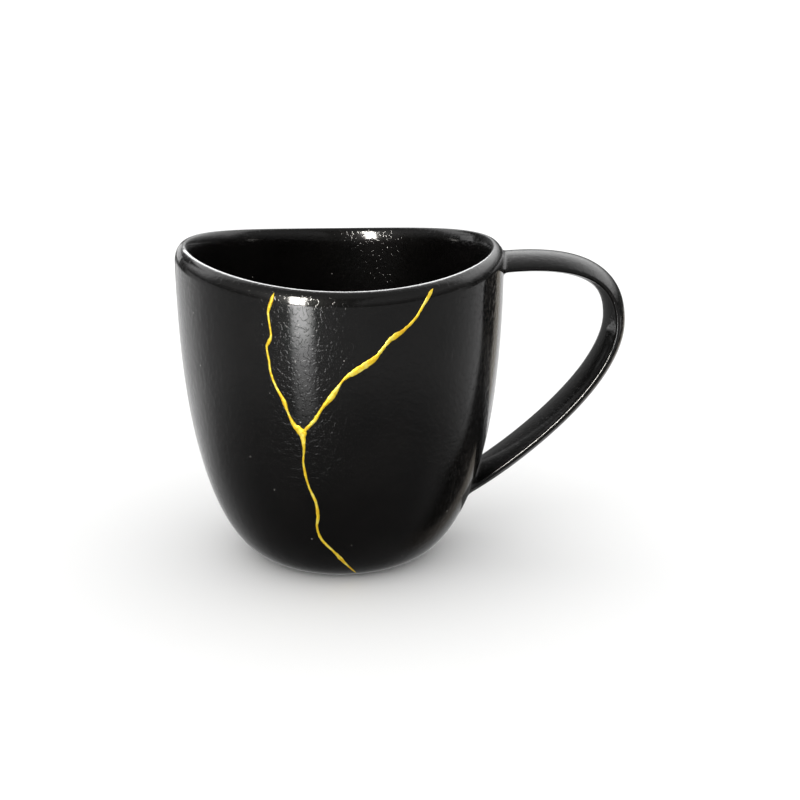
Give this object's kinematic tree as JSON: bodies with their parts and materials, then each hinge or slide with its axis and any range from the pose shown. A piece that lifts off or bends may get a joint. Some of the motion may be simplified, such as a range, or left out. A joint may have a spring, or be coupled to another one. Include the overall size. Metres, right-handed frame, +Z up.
{
  "type": "kintsugi espresso cup",
  "caption": "Black glazed porcelain espresso cup with a wavy lip and a broad strap handle, mended on its front with a branching line of gold.",
  "frame": {"origin": "centre of the flat underside, on the body's axis", "axes": "+Z up along the body's axis, +X towards the handle, -Y towards the side with the gold line; the cup stands on its underside"},
  "size_m": [0.0872, 0.0628, 0.0622],
  "materials": {
    "black_glaze": "smooth satin black glaze over porcelain",
    "gold": "burnished gold powder on lacquer, slightly uneven"
  },
  "bodies": {
    "root": {"cup": "black_glaze", "gold_seam": "gold"}
  },
  "joints": []
}
